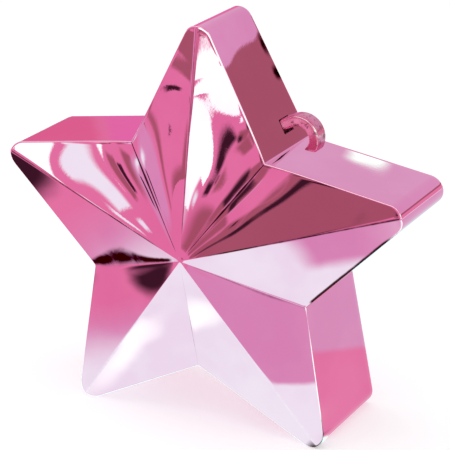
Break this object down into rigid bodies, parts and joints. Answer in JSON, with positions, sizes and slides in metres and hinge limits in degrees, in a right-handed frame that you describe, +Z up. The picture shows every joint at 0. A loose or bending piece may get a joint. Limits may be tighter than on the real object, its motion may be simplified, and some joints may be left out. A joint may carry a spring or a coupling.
{
  "type": "balloon weight",
  "caption": "Faceted star balloon weight in mirror-bright pink plastic: hollow shell, snap-in back cover, cast ballast and a curled hook that ribbons tie to.",
  "frame": {"origin": "on the table under the middle of the star, midway across its width and its depth", "axes": "+Z up along the top point, +X across the width, the faceted front faces -Y"},
  "size_m": [0.0972, 0.0356, 0.0927],
  "materials": {
    "shell": "vacuum metallised, tinted pink, mirror bright",
    "cover": "vacuum metallised, tinted pink, mirror bright",
    "ballast": "cast plaster and sand, matte",
    "hook": "vacuum metallised, tinted pink, mirror bright"
  },
  "bodies": {
    "root": {"front_shell": "shell", "back_cover": "cover", "ballast": "ballast", "hook": "hook"}
  },
  "joints": []
}
